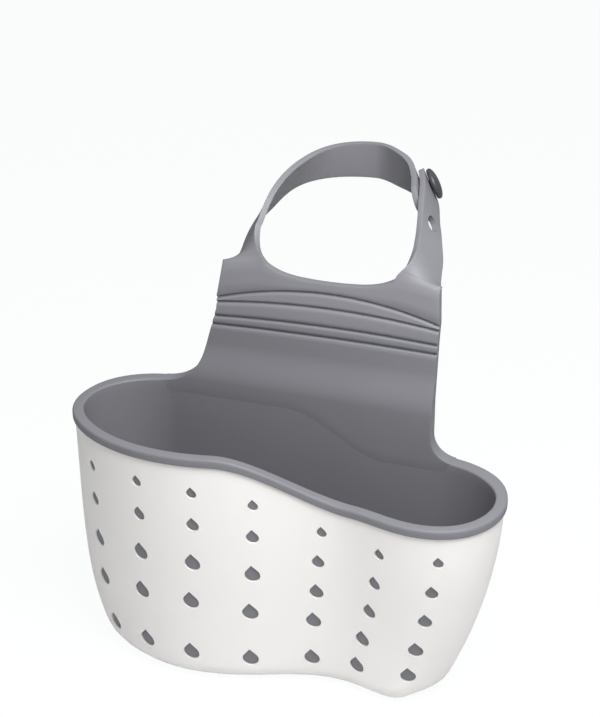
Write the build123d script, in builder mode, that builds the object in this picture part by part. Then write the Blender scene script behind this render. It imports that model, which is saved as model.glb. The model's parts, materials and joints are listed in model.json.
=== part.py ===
"""Sponge holder that hangs behind a basin mixer on a snap-closed rubber loop.

A hard white tub with drop-shaped drain holes holds a grey rubber liner. The liner's lip
laps over the tub's edge and its back wall rises as a panel. The panel's grooves let the
yoke above it tilt, and the yoke's two arms close round the tap's column with a snap button.

Millimetres, +Z up, +Y towards the column, X = 0 on the panel's centre line.
The tub stands on Z = 0.
"""

import os
from math import cos, radians, sin, sqrt

from build123d import *

# Tub, outside of the hard shell at the rim
tub_left = 89.4
tub_right = 75.2
tub_back = 28.6
left_lobe_front = 31.6
waist_front = 19.4
right_lobe_front = 24.0
left_lobe_x = 37.0
waist_x = 23.0
right_lobe_x = 45.8
left_end_y = 4.2
right_end_y = 1.5

# Rim, measured at the top of the lip
rim_high = 100.0
rim_low = 83.2
step_x = 4.6
step_run = 40.0

# How far each side of the tub draws in from the rim to the base
left_draw = 10.4
right_draw = 20.2
left_lobe_draw = 5.1
waist_draw = 5.5
right_lobe_draw = 8.7
back_draw = 2.8
base_radius = 7.5

# Walls and clearances
shell_wall = 2.0
liner_wall = 1.8
seat_gap = 0.3
lip_overhang = 1.6
lip_thickness = 3.4
overrun = 20.0

# Drop-shaped holes in the front wall
drop_top_depth = 14.2
drop_bottom_height = 14.6
drop_top_width = 3.4
drop_full_width = 5.8
drop_reach_out = 5.0
drop_reach_in = 8.0

# Round drain holes in the floor
drain_radius = 2.5
drain_pitch_x = 21.0
drain_pitch_y = 15.0
drain_columns = 6
drain_rows = 2
drain_x = -8.0
drain_y = 4.0

# Back panel and yoke
panel_half_width = 43.8
panel_thickness = 3.2
panel_left_spread = 9.5
panel_left_fillet = 18.0
panel_right_fillet = 9.0
panel_root_rise = 18.0
fold_height = 132.1
fold_gap = 0.4
fold_chamfer = 1.1
yoke_lean = 10.0
yoke_rise = 17.2
groove_width = 1.5
groove_depth = 0.9
groove_1_height = 142.7
groove_2_height = 137.2
groove_3_height = 130.2
groove_4_height = 126.0
groove_1_sag = 6.5
groove_2_sag = 2.8
groove_3_sag = 1.4
groove_4_sag = 0.7

# Tap column and the loop round it
column_radius = 24.5
column_y = 59.5
column_clearance = 1.5
strap_thickness = 2.2
strap_gap = 0.7
arm_root_width = 23.4
strap_width = 16.4
loop_height = 176.0
bend_y = 38.0
bend_gap = 0.4
root_sink = 2.5
root_inset = 0.15
flat_run = 4.0
flat_width = 22.4

# Snap button and the openings it fastens through
stem_radius = 1.9
stem_bore_radius = 2.3
cap_radius = 6.6
cap_thickness = 3.4
slot_length = 8.6
cap_gap = 0.8
cap_lip = 1.0

# Sections of the tub wall, as shares of its height
section_shares = (0.0, 0.26, 0.7, 1.06)
left_draw_power_share = 5.2
right_draw_power_share = 1.9
front_draw_power_share = 1.5

# Points round the tub, as shares of its reach in x and y, clockwise from the back right
back_right_x_share = 0.60
back_left_x_share = 0.68
corner_x_shares = (0.93, 0.95)
corner_y_share = 0.60
front_corner_x_shares = (0.87, 0.83)
front_corner_y_shares = (0.80, 0.72)
crossing_shares = (0.42, 0.58)
outline_points = 20

# Hole columns as shares of the way round the front, and rows as shares of their height
column_shares = (0.736, 0.658, 0.584, 0.504, 0.418, 0.340, 0.264)
tall_row_shares = (0.0, 0.19, 0.417, 0.67, 1.0)
low_row_shares = (0.0, 0.25, 0.5, 0.755, 1.0)
tall_width_shares = (0.0, 0.38, 0.9, 1.0, 1.0)
low_width_shares = (0.0, 0.36, 0.55, 0.75, 0.85)
drop_height_share = 1.36

# Stations of the arm: angle round the column, reach, rise, width, and how the band faces
station_angles = (63.0, 79.7, 116.2, 150.3, 180.0)
station_reach_shares = (1.29, 1.07, 0.957, 0.985, 0.985)
station_rise_shares = (0.295, 0.657, 0.904, 0.98, 1.0)
station_turns = (-45.0, -10.0, 22.0, 55.0, 90.0)
station_tilts = (8.0, 19.0, 25.0, 12.0, 4.0)
station_width_shares = (1.05, 1.0, 0.97, 0.92, 0.87)

# Sections of the straps and places of their openings, counted in stations as shares
right_station_shares = (0.0, 1.0, 2.0, 2.5, 3.0, 3.25, 3.5, 4.0, 4.33)
left_station_shares = (0.0, 1.0, 2.0, 2.5, 3.0, 3.5, 4.0, 5.0, 6.0)
under_station_shares = (5.0, 4.33, 4.0, 3.5, 3.25)
snap_station_share = 4.0
spare_station_share = 2.88



def spread(start, end, share):
    """Value that lies a share of the way from start to end."""
    return start + (end - start) * share


def draw(depth, height, full_height, power):
    """How far a wall has drawn in at this height."""
    return depth * max(1 - height / full_height, 0) ** power


def step_share(x):
    """0 on the high side of the rim's step, 1 on the low side, smooth between."""
    share = min(max((x - step_x) / step_run + 1 / 2, 0), 1)
    return share * share * (3 - 2 * share)


def rim_at(x):
    """Height of the lip's top at this x."""
    return spread(rim_high, rim_low, step_share(x))


def wall_edge(height):
    """The shell's outer face at one height: everything but the straight back."""
    right = tub_right - draw(right_draw, height, rim_low, right_draw_power_share)
    left = tub_left - draw(left_draw, height, rim_high, left_draw_power_share)
    back = tub_back - draw(back_draw, height, rim_high, front_draw_power_share)
    front_left = left_lobe_front - draw(left_lobe_draw, height, rim_high, front_draw_power_share)
    front_waist = waist_front - draw(waist_draw, height, rim_high, front_draw_power_share)
    front_right = right_lobe_front - draw(right_lobe_draw, height, rim_low, front_draw_power_share)
    waist_share, lobe_share = crossing_shares
    points = [
        (back_right_x_share * right, back),
        (corner_x_shares[0] * right, corner_y_share * back),
        (right, -right_end_y),
        (front_corner_x_shares[0] * right, -front_corner_y_shares[0] * front_right),
        (right_lobe_x, -front_right),
        (waist_x, -front_waist),
        (spread(waist_x, -left_lobe_x, lobe_share), -waist_share * front_waist - lobe_share * front_left),
        (-left_lobe_x, -front_left),
        (-front_corner_x_shares[1] * left, -front_corner_y_shares[1] * front_left),
        (-left, -left_end_y),
        (-corner_x_shares[1] * left, corner_y_share * back),
        (-back_left_x_share * left, back),
    ]
    corners = [Vector(*point, height) for point in points]
    return Edge.make_spline(corners, tangents=[(1, 0, 0), (1, 0, 0)], scale=False)


def wall_normal(edge, share):
    """Level direction out of the wall at a share of its way round."""
    along = edge.tangent_at(share)
    return Vector(-along.Y, along.X, 0).normalized()


def tub_outline(height, inset):
    """Closed outline of the tub at one height, drawn in by inset. Used inside BuildLine."""
    edge = wall_edge(height)
    shares = [index / (outline_points - 1) for index in range(outline_points)]
    points = [edge.position_at(share) - wall_normal(edge, share) * inset for share in reversed(shares)]
    flat_points = [(point.X, point.Y) for point in points]
    Spline(*flat_points, tangents=[(-1, 0), (-1, 0)], tangent_scalars=(1, 1))
    Line(flat_points[-1], flat_points[0])


def tub_form(inset, floor):
    """Solid of the tub drawn in by inset, with its rounded base at floor height."""
    with BuildPart() as form:
        for share in section_shares:
            height = spread(floor, rim_high, share)
            with BuildSketch(Plane.XY.offset(height)):
                with BuildLine():
                    tub_outline(height, inset)
                make_face()
        loft()
        fillet(form.edges().group_by(Axis.Z)[0], base_radius - inset)
    return form.part


def above_rim(drop):
    """Everything above the rim's stepped line, lowered by drop."""
    high = rim_high - drop
    low = rim_low - drop
    far = tub_left + overrun
    start = step_x - step_run / 2
    end = step_x + step_run / 2
    with BuildPart() as form:
        with BuildSketch(Plane.XZ):
            with BuildLine():
                Line((-far, high), (start, high))
                Bezier(
                    (start, high),
                    (spread(start, end, 1 / 3), high),
                    (spread(start, end, 2 / 3), low),
                    (end, low),
                )
                Line((end, low), (far, low))
                Line((far, low), (far, fold_height + overrun))
                Line((far, fold_height + overrun), (-far, fold_height + overrun))
                Line((-far, fold_height + overrun), (-far, high))
            make_face()
        extrude(amount=tub_back + left_lobe_front, both=True)
    return form.part


def drop_outline(width):
    """Drop with a round bottom and a point at the top. Used inside BuildLine."""
    radius = width / 2
    tip = width * (drop_height_share - 1 / 2)
    touch_y = radius * radius / tip
    touch_x = radius * sqrt(1 - (radius / tip) ** 2)
    Line((0, tip), (touch_x, touch_y))
    ThreePointArc((touch_x, touch_y), (0, -radius), (-touch_x, touch_y))
    Line((-touch_x, touch_y), (0, tip))


def unit(turn, tilt):
    """Direction at an angle from +X towards +Y, tilted up."""
    return Vector(
        cos(radians(turn)) * cos(radians(tilt)),
        sin(radians(turn)) * cos(radians(tilt)),
        sin(radians(tilt)),
    )


# Heights, radii and places that follow from the sizes above
shell_top_drop = lip_thickness + seat_gap
liner_outside = shell_wall + seat_gap
liner_inside = liner_outside + liner_wall
panel_back_y = tub_back + lip_overhang
panel_mid_y = panel_back_y - panel_thickness / 2
panel_front_y = panel_back_y - panel_thickness
outer_reach = column_radius + column_clearance + strap_thickness * 3 / 2 + strap_gap
layer_step = strap_thickness + strap_gap

lean_up = Vector(0, sin(radians(yoke_lean)), cos(radians(yoke_lean)))
lean_front = Vector(0, -cos(radians(yoke_lean)), sin(radians(yoke_lean)))
fold_point = Vector(0, panel_mid_y, fold_height)
yoke_plane = Plane(origin=fold_point, x_dir=(1, 0, 0), z_dir=lean_front)

root_x = panel_half_width - arm_root_width / 2
root_center = fold_point + lean_up * (yoke_rise - root_sink) + Vector(root_x, 0, 0)
arm_base_z = (fold_point + lean_up * yoke_rise).Z


def station(angle, reach, rise, turn, tilt, width):
    """Centre, facing direction, width and thickness of the right arm at one station."""
    center = Vector(
        reach * sin(radians(angle)),
        column_y - reach * cos(radians(angle)),
        spread(arm_base_z, loop_height, rise),
    )
    return center, unit(turn, tilt), width, strap_thickness


root_width = arm_root_width - root_inset * 2
root_thickness = panel_thickness - root_inset * 2
flat_center = root_center + lean_up * flat_run
flat_thickness = (root_thickness + strap_thickness) / 2
arm_stations = [
    (root_center, lean_front, root_width, root_thickness),
    (flat_center, lean_front, flat_width, flat_thickness),
] + [
    station(angle, outer_reach * reach, rise, turn, tilt, strap_width * width)
    for angle, reach, rise, turn, tilt, width in zip(
        station_angles,
        station_reach_shares,
        station_rise_shares,
        station_turns,
        station_tilts,
        station_width_shares,
    )
]
arm_spine = Edge.make_spline(
    [place[0] for place in arm_stations],
    tangents=[lean_up, (-1, 0, 0)],
    scale=False,
)
station_spots = [arm_spine.param_at_point(place[0]) for place in arm_stations]


def section(station_share):
    """Plane, width and thickness of the right arm, counted in stations from its root.

    The plane's X faces out of the arm, its Y runs across the arm and its Z along it.
    """
    before = min(int(station_share), len(arm_stations) - 2)
    part_way = station_share - before
    first, second = arm_stations[before], arm_stations[before + 1]
    spot = spread(station_spots[before], station_spots[before + 1], part_way)
    center = arm_spine.position_at(spot)
    along = arm_spine.tangent_at(spot)
    facing = first[1] * (1 - part_way) + second[1] * part_way
    square = facing - along * facing.dot(along)
    plane = Plane(origin=center, x_dir=square, z_dir=along)
    return plane, spread(first[2], second[2], part_way), spread(first[3], second[3], part_way)


def mirrored(place):
    """The same section on the left arm."""
    plane, width, thickness = place
    center, facing, along = plane.origin, plane.x_dir, plane.z_dir
    other = Plane(
        origin=(-center.X, center.Y, center.Z),
        x_dir=(-facing.X, facing.Y, facing.Z),
        z_dir=(-along.X, along.Y, along.Z),
    )
    return other, width, thickness


def under(place):
    """The section one layer nearer the column, run the other way."""
    plane, width, thickness = place
    other = Plane(
        origin=plane.origin - plane.x_dir * layer_step,
        x_dir=plane.x_dir,
        z_dir=-plane.z_dir,
    )
    return other, width, thickness


def band(places):
    """Strap lofted through its sections."""
    with BuildPart() as form:
        for plane, width, thickness in places:
            with BuildSketch(plane):
                Rectangle(thickness, width)
        loft()
    return form.part


def arch_outline(height, sag):
    """Shallow arch across the panel, one groove wide. Used inside BuildLine."""
    top = height + groove_width / 2
    bottom = height - groove_width / 2
    end = panel_half_width
    reach = end + overrun
    top_end = top - sag * (reach / end) ** 2
    bottom_end = bottom - sag * (reach / end) ** 2
    ThreePointArc((-reach, top_end), (0, top), (reach, top_end))
    Line((reach, top_end), (reach, bottom_end))
    ThreePointArc((reach, bottom_end), (0, bottom), (-reach, bottom_end))
    Line((-reach, bottom_end), (-reach, top_end))


def side_plane(place):
    """Plane on the arm's middle layer that looks out of it, with Y along the arm."""
    plane = place[0]
    return Plane(origin=plane.origin, x_dir=plane.y_dir, z_dir=plane.x_dir)


right_band = band([section(share) for share in right_station_shares])
left_band = band(
    [mirrored(section(share)) for share in left_station_shares]
    + [under(section(share)) for share in under_station_shares]
)
snap_side = side_plane(section(snap_station_share))
spare_side = side_plane(section(spare_station_share))
slot_side = side_plane(under(section(snap_station_share)))
bend_plane = Plane.XZ.offset(-bend_y)
right_root = split(right_band, bisect_by=bend_plane, keep=Keep.TOP)
left_root = split(left_band, bisect_by=bend_plane, keep=Keep.TOP)
cap_base = strap_thickness / 2 + cap_gap
stem_end = -strap_thickness * 3 / 2 - strap_gap

# Yoke's edge, seen from its end: how far behind its middle layer, and up from the fold
half_panel = panel_thickness / 2
yoke_edge = (
    (half_panel, fold_gap / 2 + fold_chamfer),
    (half_panel - fold_chamfer, fold_gap / 2),
    (fold_chamfer - half_panel, fold_gap / 2),
    (-half_panel, fold_gap / 2 + fold_chamfer),
    (-half_panel, yoke_rise),
    (half_panel, yoke_rise),
)


def yoke_point(behind, up):
    """Place in the YZ plane of a point on the leaning yoke."""
    place = fold_point + lean_up * up - lean_front * behind
    return place.Y, place.Z


# The drop-shaped cutters, one for each hole, square to the wall
with BuildPart() as drops:
    for column_share in column_shares:
        for row in range(len(tall_row_shares)):
            guess = wall_edge(spread(drop_bottom_height, rim_high, 1 / 2))
            low_side = step_share(guess.position_at(column_share).X)
            top = spread(rim_high, rim_low, low_side) - drop_top_depth
            row_share = spread(tall_row_shares[row], low_row_shares[row], low_side)
            width_share = spread(tall_width_shares[row], low_width_shares[row], low_side)
            height = spread(top, drop_bottom_height, row_share)
            width = spread(drop_top_width, drop_full_width, width_share)
            edge = wall_edge(height)
            out = wall_normal(edge, column_share)
            start = edge.position_at(column_share) - out * drop_reach_in
            sideways = Vector(0, 0, 1).cross(out)
            with BuildSketch(Plane(origin=start, x_dir=sideways, z_dir=out)):
                with BuildLine():
                    drop_outline(width)
                make_face()
            extrude(amount=drop_reach_in + drop_reach_out)

# The drain holes' cutters
with BuildPart() as drains:
    with BuildSketch():
        with Locations((drain_x, drain_y)):
            with GridLocations(drain_pitch_x, drain_pitch_y, drain_columns, drain_rows):
                Circle(drain_radius)
    extrude(amount=liner_inside + overrun / 2)

# Hard shell: a drawn tub with a stepped edge under the liner's lip
with BuildPart() as outer_shell:
    add(tub_form(0, 0))
    add(tub_form(shell_wall, shell_wall), mode=Mode.SUBTRACT)
    add(above_rim(shell_top_drop), mode=Mode.SUBTRACT)
    add(drops.part, mode=Mode.SUBTRACT)
    add(drains.part, mode=Mode.SUBTRACT)

# Lip: a band round the rim that follows its step
with BuildPart() as lip:
    with BuildSketch(Plane.XY.offset(rim_low - lip_thickness - overrun)):
        with BuildLine():
            tub_outline(rim_high, -lip_overhang)
        make_face()
    extrude(amount=rim_high - rim_low + lip_thickness + overrun * 2)
    with BuildSketch(Plane.XY.offset(rim_low - lip_thickness - overrun)):
        with BuildLine():
            tub_outline(rim_high, liner_inside)
        make_face()
    extrude(amount=rim_high - rim_low + lip_thickness + overrun * 2, mode=Mode.SUBTRACT)
    add(above_rim(0), mode=Mode.SUBTRACT)
    add(above_rim(lip_thickness), mode=Mode.INTERSECT)

# Lower panel: stands on the lip, thicker at its root, with concave corners into the lip
with BuildPart() as lower_panel:
    with BuildSketch(Plane.YZ.offset(-tub_left)):
        with BuildLine():
            Polyline(
                (panel_back_y, rim_low - overrun),
                (panel_back_y, fold_height - fold_gap / 2 - fold_chamfer),
                (panel_back_y - fold_chamfer, fold_height - fold_gap / 2),
                (panel_front_y + fold_chamfer, fold_height - fold_gap / 2),
                (panel_front_y, fold_height - fold_gap / 2 - fold_chamfer),
                (panel_front_y, rim_high + panel_root_rise),
                (tub_back - liner_inside, rim_high - lip_thickness),
                (tub_back - liner_inside, rim_low - overrun),
                close=True,
            )
        make_face()
    extrude(amount=tub_left + tub_right)
    with BuildSketch(Plane.XZ.offset(-panel_back_y - overrun)) as panel_front:
        with BuildLine():
            Polyline(
                (-panel_half_width, fold_height + overrun),
                (-panel_half_width, fold_height),
                (-panel_half_width - panel_left_spread, rim_high),
                (-panel_half_width - panel_left_spread - panel_left_fillet, rim_high),
                (-panel_half_width - panel_left_spread - panel_left_fillet, rim_low - overrun),
                (panel_half_width + panel_right_fillet * 2, rim_low - overrun),
                (panel_half_width + panel_right_fillet * 2, rim_low),
                (panel_half_width, rim_low),
                (panel_half_width, fold_height + overrun),
                close=True,
            )
        make_face()
        left_corner = Vector(-panel_half_width - panel_left_spread, rim_high)
        right_corner = Vector(panel_half_width, rim_low)
        fillet(panel_front.vertices().sort_by_distance(left_corner)[0], panel_left_fillet)
        fillet(panel_front.vertices().sort_by_distance(right_corner)[0], panel_right_fillet)
    extrude(amount=overrun * 2, mode=Mode.INTERSECT)
    with BuildSketch(Plane.XY.offset(rim_low - overrun)):
        with BuildLine():
            tub_outline(rim_high, -lip_overhang)
        make_face()
    extrude(amount=fold_height, mode=Mode.INTERSECT)
    add(above_rim(lip_thickness / 2), mode=Mode.INTERSECT)
    for height, sag in ((groove_3_height, groove_3_sag), (groove_4_height, groove_4_sag)):
        with BuildSketch(Plane.XZ.offset(-panel_front_y)):
            with BuildLine():
                arch_outline(height, sag)
            make_face()
        extrude(amount=-groove_depth, mode=Mode.SUBTRACT)

# Rubber liner: a tub inside the shell, with the lip and the lower panel
with BuildPart() as soft_liner:
    add(tub_form(liner_outside, liner_outside))
    add(above_rim(lip_thickness - seat_gap), mode=Mode.SUBTRACT)
    add(lip.part)
    add(tub_form(liner_inside, liner_inside), mode=Mode.SUBTRACT)
    add(lower_panel.part)
    add(drops.part, mode=Mode.SUBTRACT)
    add(drains.part, mode=Mode.SUBTRACT)

# Yoke: the panel above the fold, with the roots of both arms
with BuildPart() as yoke:
    with BuildSketch(Plane.YZ.offset(-panel_half_width)) as yoke_side:
        with BuildLine():
            Polyline(*[yoke_point(across, up) for across, up in yoke_edge], close=True)
        make_face()
    extrude(amount=panel_half_width * 2)
    for height, sag in ((groove_1_height, groove_1_sag), (groove_2_height, groove_2_sag)):
        with BuildSketch(yoke_plane.offset(panel_thickness / 2)):
            with BuildLine():
                arch_outline(height - fold_height, sag)
            make_face()
        extrude(amount=-groove_depth, mode=Mode.SUBTRACT)
    add(right_root)
    add(left_root)

# Right strap: ends just past the snap, with a second hole nearer the yoke
with BuildPart() as right_strap:
    add(right_band)
    split(bisect_by=bend_plane.offset(-bend_gap), keep=Keep.BOTTOM)
    with BuildSketch(snap_side, spare_side):
        Circle(stem_bore_radius)
    extrude(amount=strap_thickness * 2, both=True, mode=Mode.SUBTRACT)

# Left strap: round the back of the column and under the right strap, slotted for the stem
with BuildPart() as left_strap:
    add(left_band)
    split(bisect_by=bend_plane.offset(-bend_gap), keep=Keep.BOTTOM)
    with BuildSketch(slot_side):
        with Locations((0, slot_length / 2)):
            SlotCenterToCenter(slot_length, stem_bore_radius * 2, rotation=90)
    extrude(amount=strap_thickness + strap_gap / 2, both=True, mode=Mode.SUBTRACT)

# Snap button: a stem through both straps under a domed cap
with BuildPart() as snap_button:
    with BuildSketch(Plane(origin=snap_side.origin, x_dir=snap_side.z_dir, z_dir=snap_side.x_dir)):
        with BuildLine():
            Polyline(
                (cap_base + cap_thickness, 0),
                (stem_end, 0),
                (stem_end, stem_radius),
                (cap_base, stem_radius),
                (cap_base, cap_radius - cap_lip),
                (cap_base + cap_lip, cap_radius),
            )
            TangentArc((cap_base + cap_thickness, 0), (cap_base + cap_lip, cap_radius), tangent=(0, 1))
        make_face()
    revolve(axis=Axis(snap_side.origin, snap_side.z_dir))

os.makedirs("parts", exist_ok=True)
outer_shell.part.label = "outer_shell"
export_step(outer_shell.part, "parts/outer_shell.step")
soft_liner.part.label = "soft_liner"
export_step(soft_liner.part, "parts/soft_liner.step")
yoke.part.label = "yoke"
export_step(yoke.part, "parts/yoke.step")
right_strap.part.label = "right_strap"
export_step(right_strap.part, "parts/right_strap.step")
left_strap.part.label = "left_strap"
export_step(left_strap.part, "parts/left_strap.step")
snap_button.part.label = "snap_button"
export_step(snap_button.part, "parts/snap_button.step")
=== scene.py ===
"""Looks of a sponge holder: a hard white tub, a grey rubber liner with a back panel and two arms,
and the snap button that closes the arms round a column.

Sizes are in millimetres, as in the part's source, and turn to metres where a mesh is made.
"""

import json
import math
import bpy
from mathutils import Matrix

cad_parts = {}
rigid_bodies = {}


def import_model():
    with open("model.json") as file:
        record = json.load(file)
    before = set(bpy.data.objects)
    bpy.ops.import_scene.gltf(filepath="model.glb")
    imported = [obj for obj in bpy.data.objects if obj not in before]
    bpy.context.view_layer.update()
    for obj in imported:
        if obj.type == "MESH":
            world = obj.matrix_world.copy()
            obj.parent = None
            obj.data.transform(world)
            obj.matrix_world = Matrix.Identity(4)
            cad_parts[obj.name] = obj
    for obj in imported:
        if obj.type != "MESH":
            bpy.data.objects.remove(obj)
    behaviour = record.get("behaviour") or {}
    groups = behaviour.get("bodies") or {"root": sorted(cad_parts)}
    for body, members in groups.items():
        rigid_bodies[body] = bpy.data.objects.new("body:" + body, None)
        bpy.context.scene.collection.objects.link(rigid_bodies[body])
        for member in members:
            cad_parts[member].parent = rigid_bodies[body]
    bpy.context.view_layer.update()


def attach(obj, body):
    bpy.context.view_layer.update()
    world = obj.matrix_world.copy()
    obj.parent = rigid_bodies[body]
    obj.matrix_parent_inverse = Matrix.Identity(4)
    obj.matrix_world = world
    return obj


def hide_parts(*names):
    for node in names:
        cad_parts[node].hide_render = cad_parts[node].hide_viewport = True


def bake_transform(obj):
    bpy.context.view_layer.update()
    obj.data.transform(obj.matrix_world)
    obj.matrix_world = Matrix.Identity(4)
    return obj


bl_info = {
    "name": "Sponge holder",
    "version": (1, 0, 0),
    "blender": (4, 5, 0),
    "location": "3D View > Sidebar > Sponge holder",
    "description": "Dresses the packed sponge holder with its rubber, plastic and studio stage",
    "category": "Object",
}

import bpy
import numpy as np
from mathutils import Matrix, Vector

for left_over in list(bpy.data.objects):
    bpy.data.objects.remove(left_over)
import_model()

MM = 0.001

# Tub and rim, as in the part's source
TUB_LEFT, TUB_RIGHT, TUB_BACK = 89.4, 75.2, 28.6
LEFT_LOBE_FRONT, WAIST_FRONT, RIGHT_LOBE_FRONT = 31.6, 19.4, 24.0
LEFT_LOBE_X, WAIST_X, RIGHT_LOBE_X = 37.0, 23.0, 45.8
LEFT_END_Y, RIGHT_END_Y = 4.2, 1.5
RIM_HIGH, RIM_LOW = 100.0, 83.2
STEP_X, STEP_RUN = 4.6, 40.0
# The front of the rim steps down sooner and more gently than the back
FRONT_STEP_X, FRONT_STEP_RUN = 0.2, 48.0
LEFT_DRAW, RIGHT_DRAW, LEFT_LOBE_DRAW = 10.4, 20.2, 5.1
WAIST_DRAW, RIGHT_LOBE_DRAW, BACK_DRAW = 5.5, 8.7, 2.8
BASE_RADIUS = 7.5
SHELL_WALL, LINER_OUTSIDE, LINER_INSIDE = 2.0, 2.3, 4.1
LIP_OVERHANG, LIP_THICKNESS = 1.6, 3.4
LIP_FOOT_ROUND, LIP_TOP_ROUND, LIP_INNER_ROUND = 0.7, 1.25, 0.9
# The lip's outer and inner parts along the front, as shares of those at the back
FRONT_LIP_OUT, FRONT_LIP_IN = 0.6, 0.84

# Drop-shaped openings: where each column starts along the wall, how far its foot strays, its heights
COLUMN_SHARES = (0.744, 0.661, 0.586, 0.509, 0.422, 0.341, 0.264)
COLUMN_STRAYS = (-0.012, -0.001, -0.001, -0.015, -0.02, -0.009, -0.012)
ROW_STRAYS = (0.0, 0.0, 0.25, 0.5, 1.0)
DROP_HEIGHTS = (
    (84.1, 69.6, 52.1, 34.3, 13.4),
    (86.0, 72.0, 55.0, 37.1, 13.6),
    (85.1, 71.5, 54.6, 37.1, 12.8),
    (81.1, 67.6, 51.0, 33.6, 11.8),
    (70.7, 57.6, 44.1, 30.6, 12.8),
    (67.7, 54.1, 40.6, 26.6, 13.2),
    (69.1, 55.6, 42.1, 27.7, 14.6),
)
TALL_WIDTHS, LOW_WIDTHS = (0.0, 0.38, 0.9, 1.0, 1.0), (0.0, 0.36, 0.55, 0.75, 0.85)
DROP_SMALL, DROP_FULL, DROP_HEIGHT_SHARE, DROP_LEAN = 3.8, 6.2, 1.24, 0.1

# Drain holes in the floor
DRAIN_RADIUS, DRAIN_PITCH_X, DRAIN_PITCH_Y = 2.5, 21.0, 15.0
DRAIN_X, DRAIN_Y, DRAIN_COLUMNS, DRAIN_ROWS = -8.0, 4.0, 6, 2

# Back panel and yoke
PANEL_HALF_WIDTH, PANEL_THICKNESS = 43.8, 3.2
PANEL_BACK_Y, PANEL_MID_Y = 30.2, 28.6
PANEL_SPREAD, LEFT_FILLET, RIGHT_FILLET = 9.5, 18.0, 9.0
# The panel's root thins out over this height, stays flush this far above the rim, and dives into the wall
ROOT_RISE, ROOT_FLAT, ROOT_DIVE = 18.0, 1.5, 0.12
FOLD_HEIGHT, YOKE_LEAN = 132.1, math.radians(10)
# Height and sag of each groove, and its profile: up from its middle, and depth
GROOVES = ((126.0, 0.7), (130.2, 1.4), (137.2, 2.8), (142.7, 6.5))
GROOVE_HALF, GROOVE_DEPTH = 0.95, 0.9
GROOVE_PROFILE = (
    (-GROOVE_HALF, 0),
    (-0.55, 0.25),
    (-0.3, GROOVE_DEPTH),
    (0.3, GROOVE_DEPTH),
    (0.55, 0.25),
    (GROOVE_HALF, 0),
)
# The panel's right edge lies inside its half width, less so from this height up over this run
RIGHT_INSET_LOW, RIGHT_INSET_HIGH, RIGHT_INSET_Z, RIGHT_INSET_RUN = 1.8, 0.8, 106, 30
# How far the panel's feet lie below the rim, and how far its hidden lowest row does
FOOT_SINK, ROOT_DEPTH = 0.3, 9
# The back follows the tub's rounded ends up to this height, and is flat this much higher
FLAT_FROM, FLAT_RUN = 108, 12
# How far the panel stands proud of the liner's wall in front, and of the tub's back
PROUD, PROUD_BACK = 0.05, 0.04

# Arms: centre, how the band faces, width and thickness at each station
COLUMN_Y, OUTER_REACH, LOOP_HEIGHT, LAYER_STEP = 59.5, 30.0, 176.0, 2.9
STATION_ANGLES = (63.0, 79.7, 116.2, 150.3, 180.0)
STATION_REACHES = (1.29, 1.07, 0.957, 0.985, 0.985)
STATION_RISES = (0.295, 0.657, 0.904, 0.98, 1.0)
STATION_TURNS = (-45.0, -10.0, 22.0, 55.0, 90.0)
STATION_TILTS = (8.0, 19.0, 25.0, 12.0, 4.0)
STATION_WIDTHS = (1.05, 1.0, 0.97, 0.92, 0.87)
STRAP_WIDTH, STRAP_THICKNESS = 16.4, 2.2
SNAP_SHARE, SPARE_SHARE = 4.0, 2.88
ARM_START, ARM_END, LEFT_ARM_END = 1.18, 4.42, 3.2
# Share at which the left arm's two halves are drawn, and where the lower layer sets off
LEFT_OUTER_END, LEFT_INNER_START = 6, 5
STEM_HOLE, SPARE_HOLE, SLOT_LENGTH, TIP_RADIUS = 2.3, 3.2, 8.6, 7.4
# Slope of the inner edge's curve at its start, and how far the arms stand proud of the panel's own rows
INNER_SLOPE, ARM_GROW = -12, 0.02
# How far the arm reaches to its inner and outer edge at each share
EDGE_SHARES = (1.0, 1.25, 1.5, 1.75, 2.0, 2.25, 2.5, 3.0, 3.5, 4.0, 5.0, 6.0)
INNER_REACHES = (7.5, 5.1, 5.1, 6.5, 7.6, 7.7, 7.6, 7.1, 6.8, 6.8, 7.0, 7.1)
OUTER_REACHES = (10.1, 10.1, 10.1, 9.3, 7.6, 5.8, 5.2, 6.3, 6.6, 6.4, 6.9, 7.1)

# Camera: degrees to the right, above and rolled, metres away, focal length in the picture's pixels,
# the point that it is set by, in metres, and where that point lies in the picture
VIEW_ANGLES, VIEW_DISTANCE, VIEW_FOCAL = (19.73, 25.39, -0.43), 0.56, 1500
VIEW_AIM, VIEW_AIM_PIXEL = (-0.0026, 0.0027, 0.075), (298, 487)
PICTURE_WIDTH, PICTURE_HEIGHT, SENSOR = 600, 717, 36
# Lamps: place in metres, side, and share of the key's power
LAMPS = (
    ("key_lamp", (0.15, -0.14, 0.44), 0.25, 1.05),
    ("top_lamp", (0.1, 0.1, 1.2), 0.8, 0.2),
    ("fill_lamp", (-1.1, -0.6, 0.08), 1.0, 1.05),
)

# Sampling of the curves
WALL_STEPS, BACK_STEPS, SHELL_LEVELS, LINER_LEVELS = 240, 36, 40, 26
ARM_CELLS, RIGHT_STEPS, LEFT_STEPS, UNDER_STEPS, BRIDGE_STEPS = 14, 90, 110, 60, 26


def to_linear(code):
    """Linear colour of an sRGB hex code."""
    parts = [int(code[i : i + 2], 16) / 255 for i in (1, 3, 5)]
    return tuple(p / 12.92 if p <= 0.04045 else ((p + 0.055) / 1.055) ** 2.4 for p in parts)


def spread(start, end, share):
    """Value that lies a share of the way from start to end."""
    return start + (end - start) * share


def soft_step(share):
    """0 below 0, 1 above 1, smooth between."""
    share = np.clip(share, 0, 1)
    return share * share * (3 - 2 * share)


def normed(vectors):
    """Unit vectors along the last axis."""
    return vectors / np.linalg.norm(vectors, axis=-1, keepdims=True)


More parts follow.
